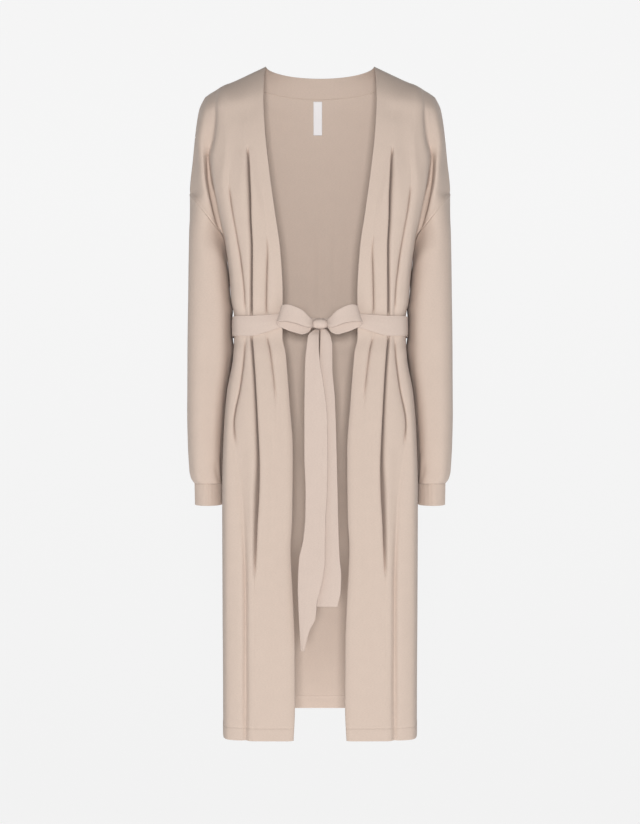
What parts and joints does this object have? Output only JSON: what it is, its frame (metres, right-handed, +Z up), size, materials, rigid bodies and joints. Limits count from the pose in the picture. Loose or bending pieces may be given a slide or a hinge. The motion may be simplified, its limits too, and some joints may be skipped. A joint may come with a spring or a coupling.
{
  "type": "belted cardigan",
  "caption": "Long open knit cardigan with drop shoulders, ribbed cuffs and a tie belt in a bow, in the hollow form it has when worn.",
  "frame": {"origin": "midway between the two neck points, at the height where the shoulders carry the garment", "axes": "+Z up, -Y to the front, +X to the wearer's left"},
  "size_m": [0.4396, 0.2238, 1.0967],
  "materials": {
    "knit": "fine matt beige jersey knit",
    "rib": "fine matt beige rib knit",
    "belt_knit": "double layer of the same beige knit",
    "label": "white woven tape, bare"
  },
  "bodies": {
    "root": {"back": "knit", "front_left": "knit", "front_right": "knit", "front_band_left": "knit", "front_band_right": "knit", "neckband": "knit", "sleeve_left": "knit", "sleeve_right": "knit", "cuff_left": "rib", "cuff_right": "rib", "belt": "belt_knit", "belt_knot": "belt_knit", "bow_loop_left": "belt_knit", "bow_loop_right": "belt_knit", "belt_tail_left": "belt_knit", "belt_tail_right": "belt_knit", "neck_label": "label"}
  },
  "joints": []
}
